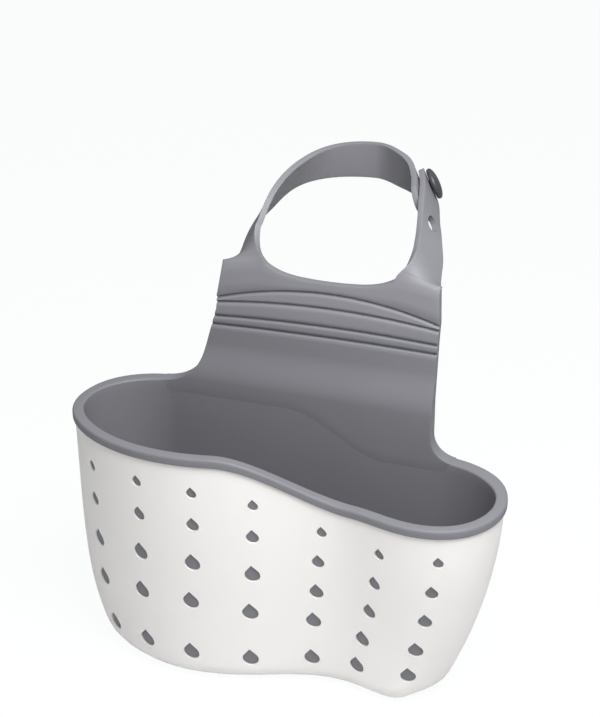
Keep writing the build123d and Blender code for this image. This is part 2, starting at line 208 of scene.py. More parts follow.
def spline(knots, values, at, first, last):
    """Smooth curve through values at knots, with given slopes at both ends."""
    values, knots, at = np.asarray(values, float), np.asarray(knots, float), np.asarray(at, float)
    step = np.diff(knots)
    count = len(values)
    matrix, sides = np.zeros((count, count)), np.zeros_like(values)
    matrix[0, 0] = matrix[-1, -1] = 1
    sides[0], sides[-1] = first, last
    for i in range(1, count - 1):
        before, after = step[i - 1], step[i]
        matrix[i, i - 1 : i + 2] = 1 / before, 2 * (1 / before + 1 / after), 1 / after
        rise_before = (values[i] - values[i - 1]) / before**2
        rise_after = (values[i + 1] - values[i]) / after**2
        sides[i] = 3 * (rise_before + rise_after)
    slopes = np.linalg.solve(matrix, sides)
    i = np.clip(np.searchsorted(knots, at, side="right") - 1, 0, count - 2)
    run = step[i]
    t = (at - knots[i]) / run
    t, run = t[..., None], run[..., None]
    return (
        values[i] * (1 + 2 * t) * (1 - t) ** 2
        + values[i + 1] * t * t * (3 - 2 * t)
        + slopes[i] * run * t * (1 - t) ** 2
        + slopes[i + 1] * run * t * t * (t - 1)
    )


def chords(points):
    """Distance along a row of points, from 0."""
    return np.concatenate([[0], np.cumsum(np.linalg.norm(np.diff(points, axis=0), axis=1))])


def draw(depth, height, full_height, power):
    """How far a wall has drawn in at this height."""
    return depth * max(1 - height / full_height, 0) ** power


def rim_at(x):
    """Height of the lip's top at this x."""
    return spread(RIM_HIGH, RIM_LOW, soft_step((x - STEP_X) / STEP_RUN + 0.5))


def wall_line(height, shares):
    """Points and outward directions of the shell's outer face at one height, without the back."""
    right = TUB_RIGHT - draw(RIGHT_DRAW, height, RIM_LOW, 1.9)
    left = TUB_LEFT - draw(LEFT_DRAW, height, RIM_HIGH, 5.2)
    back = TUB_BACK - draw(BACK_DRAW, height, RIM_HIGH, 1.5)
    front_left = LEFT_LOBE_FRONT - draw(LEFT_LOBE_DRAW, height, RIM_HIGH, 1.5)
    waist = WAIST_FRONT - draw(WAIST_DRAW, height, RIM_HIGH, 1.5)
    front_right = RIGHT_LOBE_FRONT - draw(RIGHT_LOBE_DRAW, height, RIM_LOW, 1.5)
    points = np.array(
        [
            (0.60 * right, back),
            (0.93 * right, 0.60 * back),
            (right, -RIGHT_END_Y),
            (0.87 * right, -0.80 * front_right),
            (RIGHT_LOBE_X, -front_right),
            (WAIST_X, -waist),
            (spread(WAIST_X, -LEFT_LOBE_X, 0.58), -0.42 * waist - 0.58 * front_left),
            (-LEFT_LOBE_X, -front_left),
            (-0.83 * left, -0.72 * front_left),
            (-left, -LEFT_END_Y),
            (-0.95 * left, 0.60 * back),
            (-0.68 * left, back),
        ]
    )
    knots = chords(points)
    fine = np.linspace(0, knots[-1], 1500)
    line = spline(knots, points, fine, (1, 0), (1, 0))
    along = np.gradient(line, axis=0)
    length = chords(line)
    at = np.asarray(shares) * length[-1]
    place = np.stack([np.interp(at, length, line[:, k]) for k in (0, 1)], axis=-1)
    way = normed(np.stack([np.interp(at, length, along[:, k]) for k in (0, 1)], axis=-1))
    return place, np.stack([-way[:, 1], way[:, 0]], axis=-1)


WALL_SHARES = np.linspace(0, 1, WALL_STEPS)
WALL_HEIGHTS = np.linspace(0, 104, 53)
WALL_LINES = [wall_line(height, WALL_SHARES) for height in WALL_HEIGHTS]


def tub_ring(height, inset):
    """Closed ring of points round the tub; height may differ from point to point."""
    back_shares = np.linspace(0, 1, BACK_STEPS + 2)[1:-1]
    height = np.broadcast_to(np.asarray(height, float), WALL_STEPS + BACK_STEPS)
    inset = np.broadcast_to(np.asarray(inset, float), WALL_STEPS + BACK_STEPS)
    ring = np.zeros((WALL_STEPS + BACK_STEPS, 3))
    ring[:, 2] = height
    spot = np.clip(height / (WALL_HEIGHTS[1] - WALL_HEIGHTS[0]), 0, len(WALL_HEIGHTS) - 1.001)
    low = spot.astype(int)
    part = spot - low
    for i in range(WALL_STEPS):
        below, above = WALL_LINES[low[i]], WALL_LINES[low[i] + 1]
        place = spread(below[0][i], above[0][i], part[i])
        out = spread(below[1][i], above[1][i], part[i])
        ring[i, :2] = place - out * inset[i]
    for k, share in enumerate(back_shares):
        i = WALL_STEPS + k
        below, above = WALL_LINES[low[i]], WALL_LINES[low[i] + 1]
        ends = [spread(below[0][end], above[0][end], part[i]) for end in (-1, 0)]
        ring[i, :2] = spread(ends[0], ends[1], share)
        ring[i, 1] -= inset[i]
    return ring


RIM_RING = tub_ring(RIM_HIGH, 0)
FRONT_LINE = soft_step((RIM_RING[:, 0] - FRONT_STEP_X) / FRONT_STEP_RUN + 0.5)
RIM_LINE = np.where(RIM_RING[:, 1] < 0, spread(RIM_HIGH, RIM_LOW, FRONT_LINE), rim_at(RIM_RING[:, 0]))
# 0 along the front of the tub, 1 along its back
BACK_PART = soft_step((RIM_RING[:, 1] - 6) / 16)


def solo(obj):
    """Leaves only this object selected and active."""
    bpy.ops.object.select_all(action="DESELECT")
    obj.select_set(True)
    bpy.context.view_layer.objects.active = obj


def new_piece(name, points, faces, edges=()):
    """Object from points in millimetres."""
    mesh = bpy.data.meshes.new(name)
    mesh.from_pydata((np.asarray(points) * MM).tolist(), edges, faces)
    mesh.update()
    obj = bpy.data.objects.new(name, mesh)
    bpy.context.scene.collection.objects.link(obj)
    solo(obj)
    return obj


def apply_modifier(obj, kind, **settings):
    """Adds a modifier with its settings and applies it."""
    solo(obj)
    made = obj.modifiers.new(kind.title(), kind)
    for key, value in settings.items():
        setattr(made, key, value)
    bpy.ops.object.modifier_apply(modifier=made.name)


def face_outward(obj):
    """Turns all faces outward."""
    solo(obj)
    bpy.ops.object.mode_set(mode="EDIT")
    bpy.ops.mesh.select_all(action="SELECT")
    bpy.ops.mesh.normals_make_consistent(inside=False)
    bpy.ops.object.mode_set(mode="OBJECT")


def finish_piece(obj, material, smooth_angle=35):
    """Outward faces, smooth shading up to the given angle, and the material."""
    face_outward(obj)
    bpy.ops.object.shade_smooth_by_angle(angle=math.radians(smooth_angle))
    obj.data.materials.clear()
    obj.data.materials.append(material)


def cut_away(obj, cutters):
    """Takes the cutters out of the object and deletes them."""
    for cutter in cutters:
        face_outward(cutter)
        apply_modifier(obj, "BOOLEAN", operation="DIFFERENCE", solver="MANIFOLD", object=cutter)
        bpy.data.objects.remove(cutter)


def slab(name, back, front, cells, round_edge):
    """Closed sheet between two grids of points, with its rim rounded. cells says which quads are there."""
    rows, columns = cells.shape[0] + 1, cells.shape[1] + 1
    used, faces, rim = {}, [], {}

    def spot(side, r, c):
        key = (side, r, c)
        if key not in used:
            used[key] = len(used)
        return used[key]

    for r, c in zip(*np.nonzero(cells)):
        corners = [(r, c), (r, c + 1), (r + 1, c + 1), (r + 1, c)]
        faces.append([spot(1, *corner) for corner in corners])
        faces.append([spot(0, *corner) for corner in reversed(corners)])
        for k in range(4):
            edge = (corners[k], corners[(k + 1) % 4])
            if (edge[1], edge[0]) in rim:
                del rim[(edge[1], edge[0])]
            else:
                rim[edge] = True
    for start, end in rim:
        faces.append([spot(1, *end), spot(1, *start), spot(0, *start), spot(0, *end)])
    grids = (back, front)
    points = [grids[side][r, c] for side, r, c in used]
    obj = new_piece(name, points, faces)
    weight = obj.data.attributes.new("bevel_weight_edge", "FLOAT", "EDGE")
    sharp = set()
    for start, end in rim:
        for side in (0, 1):
            sharp.add(frozenset((spot(side, *start), spot(side, *end))))
    for edge in obj.data.edges:
        if frozenset(edge.vertices) in sharp:
            weight.data[edge.index].value = 1
    apply_modifier(
        obj,
        "BEVEL",
        width=round_edge * MM,
        segments=3,
        limit_method="WEIGHT",
        use_clamp_overlap=True,
    )
    return obj


def unit(turn, tilt):
    """Direction at an angle from +X towards +Y, tilted up."""
    turn, tilt = math.radians(turn), math.radians(tilt)
    return np.array(
        [math.cos(turn) * math.cos(tilt), math.sin(turn) * math.cos(tilt), math.sin(tilt)]
    )


LEAN_UP = np.array([0, math.sin(YOKE_LEAN), math.cos(YOKE_LEAN)])
LEAN_FRONT = np.array([0, -math.cos(YOKE_LEAN), math.sin(YOKE_LEAN)])
FOLD_POINT = np.array([0, PANEL_MID_Y, FOLD_HEIGHT])
ROOT_CENTER = FOLD_POINT + LEAN_UP * 14.7 + np.array([32.1, 0, 0])
ARM_BASE_Z = (FOLD_POINT + LEAN_UP * 17.2)[2]


def station_centers():
    """Centres of the right arm's stations."""
    centers = [ROOT_CENTER, ROOT_CENTER + LEAN_UP * 4]
    for angle, reach, rise in zip(STATION_ANGLES, STATION_REACHES, STATION_RISES):
        angle = math.radians(angle)
        reach *= OUTER_REACH
        height = spread(ARM_BASE_Z, LOOP_HEIGHT, rise)
        centers.append(
            np.array([reach * math.sin(angle), COLUMN_Y - reach * math.cos(angle), height])
        )
    return np.array(centers)


CENTERS = station_centers()
CENTER_KNOTS = chords(CENTERS)
FACINGS = np.array(
    [LEAN_FRONT, LEAN_FRONT] + [unit(turn, tilt) for turn, tilt in zip(STATION_TURNS, STATION_TILTS)]
)
WIDTHS = np.array([23.1, 22.4] + [STRAP_WIDTH * share for share in STATION_WIDTHS])
THICKNESSES = np.array([2.9, 2.55] + [STRAP_THICKNESS] * 5)


def sections(shares):
    """Centre, facing, sideways, width and thickness of the right arm at each share."""
    shares = np.asarray(shares, float)
    numbers = np.arange(len(CENTERS))
    at = np.interp(shares, numbers, CENTER_KNOTS)
    center = spline(CENTER_KNOTS, CENTERS, at, LEAN_UP, (-1, 0, 0))
    ahead = spline(CENTER_KNOTS, CENTERS, at + 0.01, LEAN_UP, (-1, 0, 0))
    along = normed(ahead - center)
    still = np.zeros(3)
    facing = spline(numbers, FACINGS, shares, still, still)
    facing = normed(facing - along * np.sum(facing * along, axis=-1, keepdims=True))
    width = np.interp(shares, numbers, WIDTHS)
    thickness = np.interp(shares, numbers, THICKNESSES)
    return center, facing, np.cross(along, facing), width, thickness


# The panel's columns: arms outside, U between them
ARM_INNER, ARM_OUTER = 24.6, 42.2
ARM_COLUMNS, MIDDLE_COLUMNS = 13, 34
COLUMN_WEIGHTS = np.concatenate(
    [
        np.linspace(0, (ARM_OUTER - ARM_INNER) / (2 * ARM_OUTER), ARM_COLUMNS + 1),
        np.linspace(
            (ARM_OUTER - ARM_INNER) / (2 * ARM_OUTER),
            (ARM_OUTER + ARM_INNER) / (2 * ARM_OUTER),
            MIDDLE_COLUMNS + 1,
        )[1:-1],
        np.linspace((ARM_OUTER + ARM_INNER) / (2 * ARM_OUTER), 1, ARM_COLUMNS + 1),
    ]
)
# Edge of the opening between the arms: across, and up from the fold
OPENING_X = (0.0, 6.0, 12.4, 16.5, 19.9, 22.5, 24.6, 36.0, 39.5, 41.3, 42.2)
OPENING_UP = (14.5, 14.6, 15.0, 15.6, 16.5, 17.6, 18.7, 18.6, 18.0, 17.1, 16.0)


def arch(x, height, sag):
    """Height of a groove's arch at this x."""
    if height > FOLD_HEIGHT:
        height = FOLD_HEIGHT + (height - FOLD_HEIGHT) * math.cos(YOKE_LEAN)
    return height - sag * (x / PANEL_HALF_WIDTH) ** 2


def left_edge(height):
    """X of the panel's left edge above its fillet."""
    return -PANEL_HALF_WIDTH - PANEL_SPREAD * max(0, (FOLD_HEIGHT - height) / (FOLD_HEIGHT - RIM_HIGH))


def right_edge(height):
    """X of the panel's right edge above its fillet."""
    share = min(max((height - RIGHT_INSET_Z) / RIGHT_INSET_RUN, 0), 1)
    return PANEL_HALF_WIDTH - spread(RIGHT_INSET_LOW, RIGHT_INSET_HIGH, share)


def side_curves(steps):
    """Left and right edges of the panel from the lip up to the first groove, as x and height."""
    flare = math.atan2(PANEL_SPREAD, FOLD_HEIGHT - RIM_HIGH)
    reach = LEFT_FILLET / math.tan((math.pi / 2 + flare) / 2)
    foot_x = -PANEL_HALF_WIDTH - PANEL_SPREAD - reach
    first_height, first_sag = GROOVES[0]
    left = [(foot_x - 1, RIM_HIGH - ROOT_DEPTH), (foot_x, RIM_HIGH - FOOT_SINK)]
    for turn in np.linspace(0, math.pi / 2 - flare, 14)[1:]:
        left.append(
            (
                foot_x + LEFT_FILLET * math.sin(turn),
                RIM_HIGH - FOOT_SINK + LEFT_FILLET * (1 - math.cos(turn)),
            )
        )
    end = arch(left_edge(124), first_height - GROOVE_HALF, first_sag)
    left.append((left_edge(end), end))
    right_foot = right_edge(RIM_LOW) + RIGHT_FILLET
    right = [(right_foot + 1, RIM_LOW - ROOT_DEPTH), (right_foot, RIM_LOW - FOOT_SINK)]
    for turn in np.linspace(0, math.pi / 2, 12)[1:]:
        right.append(
            (
                right_foot - RIGHT_FILLET * math.sin(turn),
                RIM_LOW - FOOT_SINK + RIGHT_FILLET * (1 - math.cos(turn)),
            )
        )
    end = arch(PANEL_HALF_WIDTH, first_height - GROOVE_HALF, first_sag)
    right += [(right_edge(level), level) for level in (RIGHT_INSET_Z, end)]
    curves = []
    for curve in (np.array(left), np.array(right)):
        length = chords(curve[1:])
        at = np.linspace(0, length[-1], steps)
        even = np.stack([np.interp(at, length, curve[1:, k]) for k in (0, 1)], axis=-1)
        curves.append(np.vstack([curve[:1], even]))
    return curves


def panel_rows():
    """Rows of (x, height) from the lip up to the opening between the arms, and groove depths."""
    left, right = side_curves(30)
    rows, depths = [], []
    last = len(left) - 1
    for i in range(last):
        share = max(i - 1, 0) / (last - 1)
        x = spread(left[i, 0], right[i, 0], COLUMN_WEIGHTS)
        low = spread(left[i, 1], right[i, 1], soft_step((x - STEP_X) / STEP_RUN + 0.5))
        curve = arch(x, GROOVES[0][0] - GROOVE_HALF, GROOVES[0][1])
        high = curve + spread(left[i, 1] - curve[0], right[i, 1] - curve[-1], COLUMN_WEIGHTS)
        rows.append((x, spread(low, high, soft_step(share))))
        depths.append(0)
    for number, (height, sag) in enumerate(GROOVES):
        for offset, depth in GROOVE_PROFILE:
            level = arch(PANEL_HALF_WIDTH, height + offset, sag)
            x = spread(left_edge(level), right_edge(level), COLUMN_WEIGHTS)
            rows.append((x, arch(x, height + offset, sag)))
            depths.append(depth)
        following = GROOVES[number + 1] if number + 1 < len(GROOVES) else None
        if following:
            last_row = rows[-1][1]
            above = arch(x, following[0] - GROOVE_HALF, following[1])
            between = 2 if following[0] - height < 5 else 4
            for k in range(1, between + 1):
                level = spread(last_row, above, k / (between + 1))
                rows.append((spread(left_edge(level[0]), right_edge(level[-1]), COLUMN_WEIGHTS), level))
                depths.append(0)
    top_x = spread(-ARM_OUTER, ARM_OUTER, COLUMN_WEIGHTS)
    top = FOLD_HEIGHT + np.interp(abs(top_x), OPENING_X, OPENING_UP) * math.cos(YOKE_LEAN)
    start = rows[-1]
    for share in (0.35, 0.68, 1):
        rows.append((spread(start[0], top_x, share), spread(start[1], top, share)))
        depths.append(0)
    return rows, depths


def panel_grids():
    """Back and front of the panel, the yoke and the roots of the arms, and which cells are there."""
    rows, depths = panel_rows()
    rim_x, rim_y = RIM_RING[:, 0], RIM_RING[:, 1]
    behind = rim_y > 10
    order = np.argsort(rim_x[behind])
    back, front = [], []
    for (x, height), depth in zip(rows, depths):
        rise = height - FOLD_HEIGHT
        lean = np.where(rise > 4, rise, np.where(rise < -4, 0, (rise + 4) ** 2 / 16)) * math.tan(YOKE_LEAN)
        round_off = TUB_BACK - np.interp(x, rim_x[behind][order], rim_y[behind][order])
        fade = 1 - soft_step((height - FLAT_FROM) / FLAT_RUN)
        lean = lean - round_off * fade
        wall = LINER_INSIDE + LIP_OVERHANG + BACK_DRAW * np.maximum(1 - height / RIM_HIGH, 0) ** 1.5
        root = soft_step((RIM_HIGH + ROOT_RISE - height) / (ROOT_RISE - ROOT_FLAT))
        thick = spread(PANEL_THICKNESS, wall + PROUD, root)
        behind_y = PANEL_BACK_Y + PROUD_BACK + lean
        front_y = PANEL_BACK_Y + lean - thick + depth
        if not back:
            # The lowest row lies inside the liner's wall, so that the panel grows out of it
            front_y = front_y + ROOT_DIVE
            behind_y = front_y + 1.2
        back.append(np.stack([x, behind_y, height], axis=-1))
        front.append(np.stack([x, front_y, height], axis=-1))
    back, front = np.array(back), np.array(front)
    arm_shares = (1.1, 1.2, 1.3)
    arm_back, arm_front = arm_grid(np.array(arm_shares), ARM_COLUMNS, 0)
    blank = len(COLUMN_WEIGHTS)
    cells = np.ones((len(back) - 1 + len(arm_shares), blank - 1), bool)
    cells[len(back) - 1 :, ARM_COLUMNS : ARM_COLUMNS + MIDDLE_COLUMNS] = False
    full = []
    for main, arm in ((back, arm_back), (front, arm_front)):
        extra = np.zeros((len(arm_shares), blank, 3))
        extra[:, ARM_COLUMNS + MIDDLE_COLUMNS :] = arm
        extra[:, : ARM_COLUMNS + 1] = arm[:, ::-1] * np.array([-1, 1, 1])
        full.append(np.vstack([main, extra]))
    return full[0], full[1], cells


def arm_grid(shares, columns, grow):
    """Back and front of the right arm at these shares, inner edge first."""
    center, facing, sideways, _, thickness = sections(shares)
    start = -spline(EDGE_SHARES, np.array(INNER_REACHES)[:, None], shares, INNER_SLOPE, 0)[:, 0] - grow
    end = spline(EDGE_SHARES, np.array(OUTER_REACHES)[:, None], shares, 0, 0)[:, 0] + grow
    across = np.linspace(0, 1, columns + 1)
    places = spread(start[:, None], end[:, None], across[None, :])
    middle = center[:, None, :] + sideways[:, None, :] * places[:, :, None]
    out = facing[:, None, :] * (thickness / 2 + grow)[:, None, None]
    return middle - out, middle + out


def round_tip(back, front):
    """Draws the last rows of an arm in to a round end."""
    middle = (back + front) / 2
    length = chords(middle[:, middle.shape[1] // 2])
    left = length[-1] - length
    share = np.sqrt(np.clip(1 - (1 - np.clip(left / TIP_RADIUS, 0, 1)) ** 2, 0.02, 1))
    for grid in (back, front):
        axis = (grid[:, :1] + grid[:, -1:]) / 2
        grid[:] = axis + (grid - axis) * share[:, None, None]
    return back, front


def node(tree, kind, inputs=None, **settings):
    """Adds a node with its settings, values and links."""
    made = tree.nodes.new(kind)
    for key, value in settings.items():
        setattr(made, key, value)
    for key, value in (inputs or {}).items():
        if isinstance(value, bpy.types.NodeSocket):
            tree.links.new(value, made.inputs[key])
        else:
            made.inputs[key].default_value = value
    return made


def moulded(name, colour, roughness, ior, grain, depth, shade):
    """Moulded surface: an even colour with faint clouding, and the fine grain of its mould.

    grain is the width of the mould's texture and depth its height, both in millimetres, and shade
    is how far the colour strays. The clouds measure about 38 mm, as flow marks on such mouldings do.
    """
    material = bpy.data.materials.new(name)
    material.use_nodes = True
    tree = material.node_tree
    tree.nodes.clear()
    place = node(tree, "ShaderNodeTexCoord").outputs["Object"]
    clouds = node(
        tree,
        "ShaderNodeTexNoise",
        {"Vector": place, "Scale": 1 / (38 * MM), "Detail": 3.0, "Roughness": 0.55},
    )
    tint = node(
        tree,
        "ShaderNodeMix",
        {
            0: clouds.outputs["Fac"],
            6: (*[c * (1 - shade) for c in colour], 1),
            7: (*[min(1, c * (1 + shade)) for c in colour], 1),
        },
        data_type="RGBA",
    )
    wear = node(
        tree,
        "ShaderNodeMapRange",
        {
            "Value": clouds.outputs["Fac"],
            "From Min": 0.3,
            "From Max": 0.7,
            "To Min": roughness - 0.05,
            "To Max": roughness + 0.06,
        },
    )
    pits = node(
        tree,
        "ShaderNodeTexNoise",
        {"Vector": place, "Scale": 1 / (grain * MM), "Detail": 2.0, "Roughness": 0.6},
    )
    bump = node(
        tree,
        "ShaderNodeBump",
        {"Height": pits.outputs["Fac"], "Distance": depth * MM, "Strength": 1.0},
    )
    shader = node(
        tree,
        "ShaderNodeBsdfPrincipled",
        {
            "Base Color": tint.outputs[2],
            "Roughness": wear.outputs["Result"],
            "IOR": ior,
            "Normal": bump.outputs["Normal"],
        },
    )
    node(tree, "ShaderNodeOutputMaterial", {"Surface": shader.outputs["BSDF"]})
    return material


class HolderLooks(bpy.types.PropertyGroup):
    """Sizes and colours that a user may change."""

    plastic: bpy.props.FloatVectorProperty(
        name="Tub colour",
        description="Colour of the hard white tub",
        subtype="COLOR",
        default=to_linear("#f4f1ee"),
        min=0,
        max=1,
    )
    rubber: bpy.props.FloatVectorProperty(
        name="Rubber colour",
        description="Colour of the liner, the panel and the arms",
        subtype="COLOR",
        default=to_linear("#7b7b80"),
        min=0,
        max=1,
    )
    # The button's default colour is darker than its own grey: painted shade standing in for the shaded
    # underside of the cap, which the cap's tilt here keeps from the camera
    cap: bpy.props.FloatVectorProperty(
        name="Button colour",
        description="Colour of the snap button",
        subtype="COLOR",
        default=to_linear("#3d3c40"),
        min=0,
        max=1,
    )
    edge_round: bpy.props.FloatProperty(
        name="Edge rounding",
        description="Radius on the panel's and the arms' edges",
        subtype="DISTANCE",
        unit="LENGTH",
        default=0.7 * MM,
    )
    drop_recess: bpy.props.FloatProperty(
        name="Drop recess",
        description="How far the rubber lies behind the tub's face in each drop-shaped hole",
        subtype="DISTANCE",
        unit="LENGTH",
        default=0.6 * MM,
    )
    floor_size: bpy.props.FloatProperty(
        name="Floor size",
        description="Side of the studio floor",
        subtype="DISTANCE",
        unit="LENGTH",
        default=6.0,
    )
    key_power: bpy.props.FloatProperty(
        name="Key light",
        description="Power of the main lamp",
        subtype="POWER",
        unit="POWER",
        default=2.35,
    )


def wall_rings(floor, inset, top, levels, inner):
    """Rings up one face of a tub wall, from the flat of its floor over the rounded foot to its top."""
    radius = BASE_RADIUS - inset
    share = spread(FRONT_LIP_IN, 1, BACK_PART) if inner else 1
    rings = []
    for angle in np.linspace(0, math.pi / 2, 7):
        drawn = inset + radius * (1 - math.sin(angle))
        rings.append(tub_ring(floor + radius * (1 - math.cos(angle)), drawn * share))
    for part in np.linspace(0, 1, levels)[1:]:
        rings.append(tub_ring(spread(floor + radius, top, part), inset * share))
    return rings


def ring_piece(name, rings):
    """Closed piece from rings that run from its underside over its top to the floor inside."""
    count = len(rings[0])
    faces = [list(range(count)), [count * (len(rings) - 1) + i for i in range(count)][::-1]]
    for level in range(len(rings) - 1):
        base = level * count
        for i in range(count):
            nxt = (i + 1) % count
            faces.append([base + i, base + nxt, base + count + nxt, base + count + i][::-1])
    return new_piece(name, np.vstack(rings), faces)


def drain_cutter():
    """All the floor's round drain holes as one cutter."""
    drains = []
    for column in range(DRAIN_COLUMNS):
        for row in range(DRAIN_ROWS):
            x = DRAIN_X + (column - (DRAIN_COLUMNS - 1) / 2) * DRAIN_PITCH_X
            y = DRAIN_Y + (row - (DRAIN_ROWS - 1) / 2) * DRAIN_PITCH_Y
            bpy.ops.mesh.primitive_cylinder_add(
                vertices=24, radius=DRAIN_RADIUS * MM, depth=12 * MM, location=(x * MM, y * MM, 3 * MM)
            )
            drains.append(bpy.context.object)
    solo(drains[0])
    for drain in drains:
        drain.select_set(True)
    bpy.ops.object.join()
    return drains[0]


def drop_shape(width, sides):
    """Outline of a drop: a round bottom and a point at the top."""
    radius = width / 2
    tip = width * (DROP_HEIGHT_SHARE - 0.5)
    touch = math.asin(radius / tip)
    angles = np.linspace(touch, -math.pi - touch, sides)
    return np.array([(0, tip)] + [(radius * math.cos(a), radius * math.sin(a)) for a in angles])


def drop_prisms(name, loops):
    """One piece with a drop-shaped prism at each opening.

    Each loop is how far its outline is drawn in, and how deep behind the tub's face it lies.
    """
    points, faces = [], []
    for start_share, stray, heights in zip(COLUMN_SHARES, COLUMN_STRAYS, DROP_HEIGHTS):
        for row, height in enumerate(heights):
            column_share = start_share + stray * ROW_STRAYS[row]
            place, out = wall_line(height, [column_share])
            low_side = soft_step((place[0, 0] - FRONT_STEP_X) / FRONT_STEP_RUN + 0.5)
            width = spread(DROP_SMALL, DROP_FULL, spread(TALL_WIDTHS[row], LOW_WIDTHS[row], low_side))
            place = np.array([*place[0], height])
            out = np.array([*out[0], 0])
            sideways = np.cross((0, 0, 1), out)
            # The wall's own slope, so that each face lies level with it
            above, _ = wall_line(height + 1, [column_share])
            slope = np.array([*above[0], height + 1]) - place
            slope -= sideways * (slope @ sideways)
            slope /= slope[2]
            start = len(points)
            outline = drop_shape(width, 22)
            outline[:, 0] -= outline[:, 1] * DROP_LEAN
            for shrink, deep in loops:
                for x, z in outline * (1 - shrink / (width / 2)):
                    points.append(place - out * deep + sideways * x + slope * z)
            sides = len(outline)
            faces.append([start + i for i in range(sides)])
            faces.append([start + (len(loops) - 1) * sides + i for i in range(sides)][::-1])
            for level in range(len(loops) - 1):
                base = start + level * sides
                for i in range(sides):
                    nxt = (i + 1) % sides
                    faces.append([base + i, base + nxt, base + sides + nxt, base + sides + i])
    return new_piece(name, points, faces)


class HOLDER_OT_shell(bpy.types.Operator):
    """Models the hard tub with its drop-shaped holes"""

    bl_idname = "holder.shell"
    bl_label = "Tub"

    def execute(self, context):
        looks = context.scene.holder_looks
        # Polypropylene, injection moulded: a satin, slightly waxy white with a faint mould grain
        white = moulded(
            "moulded_polypropylene",
            looks.plastic,
            roughness=0.38,
            ior=1.49,
            grain=0.7,
            depth=0.006,
            shade=0.012,
        )
        top = RIM_LINE - LIP_THICKNESS
        rings = wall_rings(0, 0, top, SHELL_LEVELS, False)
        rings += wall_rings(SHELL_WALL, SHELL_WALL, top, SHELL_LEVELS, False)[::-1]
        shell = ring_piece("tub_shell", rings)
        drops = drop_prisms("drop_cutter", ((0, SHELL_WALL + 3), (0, -2)))
        cut_away(shell, [drain_cutter(), drops])
        finish_piece(shell, white, 40)
        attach(shell, "tub")
        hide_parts("outer_shell")
        return {"FINISHED"}


def lip_profile():
    """Height below the rim and inset round the lip, from its hidden underside over to the inside."""
    points = [(-LIP_THICKNESS, LINER_OUTSIDE + 0.4)]
    foot, top, inner = LIP_FOOT_ROUND, LIP_TOP_ROUND, LIP_INNER_ROUND
    corners = (
        (-LIP_THICKNESS + foot, -LIP_OVERHANG + foot, foot, math.pi, math.pi / 2),
        (-top, -LIP_OVERHANG + top, top, math.pi / 2, 0),
        (-inner, LINER_INSIDE - inner, inner, 0, -math.pi / 2),
    )
    for middle, across, radius, start, end in corners:
        for angle in np.linspace(start, end, 7):
            points.append((middle + radius * math.cos(angle), across - radius * math.sin(angle)))
    return points


class HOLDER_OT_liner(bpy.types.Operator):
    """Models the rubber tub with its rounded lip"""

    bl_idname = "holder.liner"
    bl_label = "Liner"

    def execute(self, context):
        rings = wall_rings(LINER_OUTSIDE, LINER_OUTSIDE, RIM_LINE - LIP_THICKNESS, LINER_LEVELS, False)
        out_share, in_share = spread(FRONT_LIP_OUT, 1, BACK_PART), spread(FRONT_LIP_IN, 1, BACK_PART)
        for height, across in lip_profile():
            inset = across * (out_share if across < 0 else in_share)
            rings.append(tub_ring(RIM_LINE + height, inset))
        top = RIM_LINE - LIP_INNER_ROUND
        rings += wall_rings(LINER_INSIDE, LINER_INSIDE, top, LINER_LEVELS, True)[-2::-1]
        liner = ring_piece("liner_tub", rings)
        cut_away(liner, [drain_cutter()])
        finish_piece(liner, bpy.data.materials["moulded_silicone_rubber"])
        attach(liner, "tub")
        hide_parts("soft_liner")
        return {"FINISHED"}


class HOLDER_OT_drops(bpy.types.Operator):
    """Models the rubber that fills the tub's drop-shaped holes"""

    bl_idname = "holder.drops"
    bl_label = "Rubber drops"

    def execute(self, context):
        recess = context.scene.holder_looks.drop_recess / MM
        loops = ((0.1, SHELL_WALL + 0.9), (0.1, recess + 0.35), (0.1, recess + 0.12), (0.4, recess))
        drops = drop_prisms("liner_drops", loops)
        finish_piece(drops, bpy.data.materials["moulded_silicone_rubber"])
        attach(drops, "tub")
        return {"FINISHED"}


class HOLDER_OT_panel(bpy.types.Operator):
    """Models the back panel, its grooves and the yoke"""

    bl_idname = "holder.panel"
    bl_label = "Back panel"

    def execute(self, context):
        looks = context.scene.holder_looks
        back, front, cells = panel_grids()
        panel = slab("back_panel", back, front, cells, looks.edge_round / MM)
        finish_piece(panel, bpy.data.materials["moulded_silicone_rubber"], 50)
        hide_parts("yoke")
        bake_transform(panel)
        return {"FINISHED"}


def under_layer():
    """Back and front of the left arm's end, which runs under the right arm."""
    center, facing, sideways, width, thickness = sections(
        np.linspace(LEFT_INNER_START, LEFT_ARM_END, UNDER_STEPS)
    )
    places = np.linspace(-0.5, 0.5, ARM_CELLS + 1)[None, ::-1] * width[:, None]
    middle = (center - facing * LAYER_STEP)[:, None, :] + sideways[:, None, :] * places[:, :, None]
    out = (facing * (thickness / 2)[:, None])[:, None, :]
    return middle - out, middle + out


def bridged(first, second):
    """Two runs of rows with a smooth bridge between them."""
    run = np.linalg.norm(second[0] - first[-1], axis=-1).mean()
    before = (first[-1] - first[-2]) / np.linalg.norm(first[-1] - first[-2], axis=-1).mean()
    after = (second[1] - second[0]) / np.linalg.norm(second[1] - second[0], axis=-1).mean()
    bridge = []
    for t in np.linspace(0, 1, BRIDGE_STEPS)[1:-1]:
        bridge.append(
            first[-1] * (1 + 2 * t) * (1 - t) ** 2
            + second[0] * t * t * (3 - 2 * t)
            + before * run * t * (1 - t) ** 2
            + after * run * t * t * (t - 1)
        )
    return np.vstack([first, np.array(bridge), second])


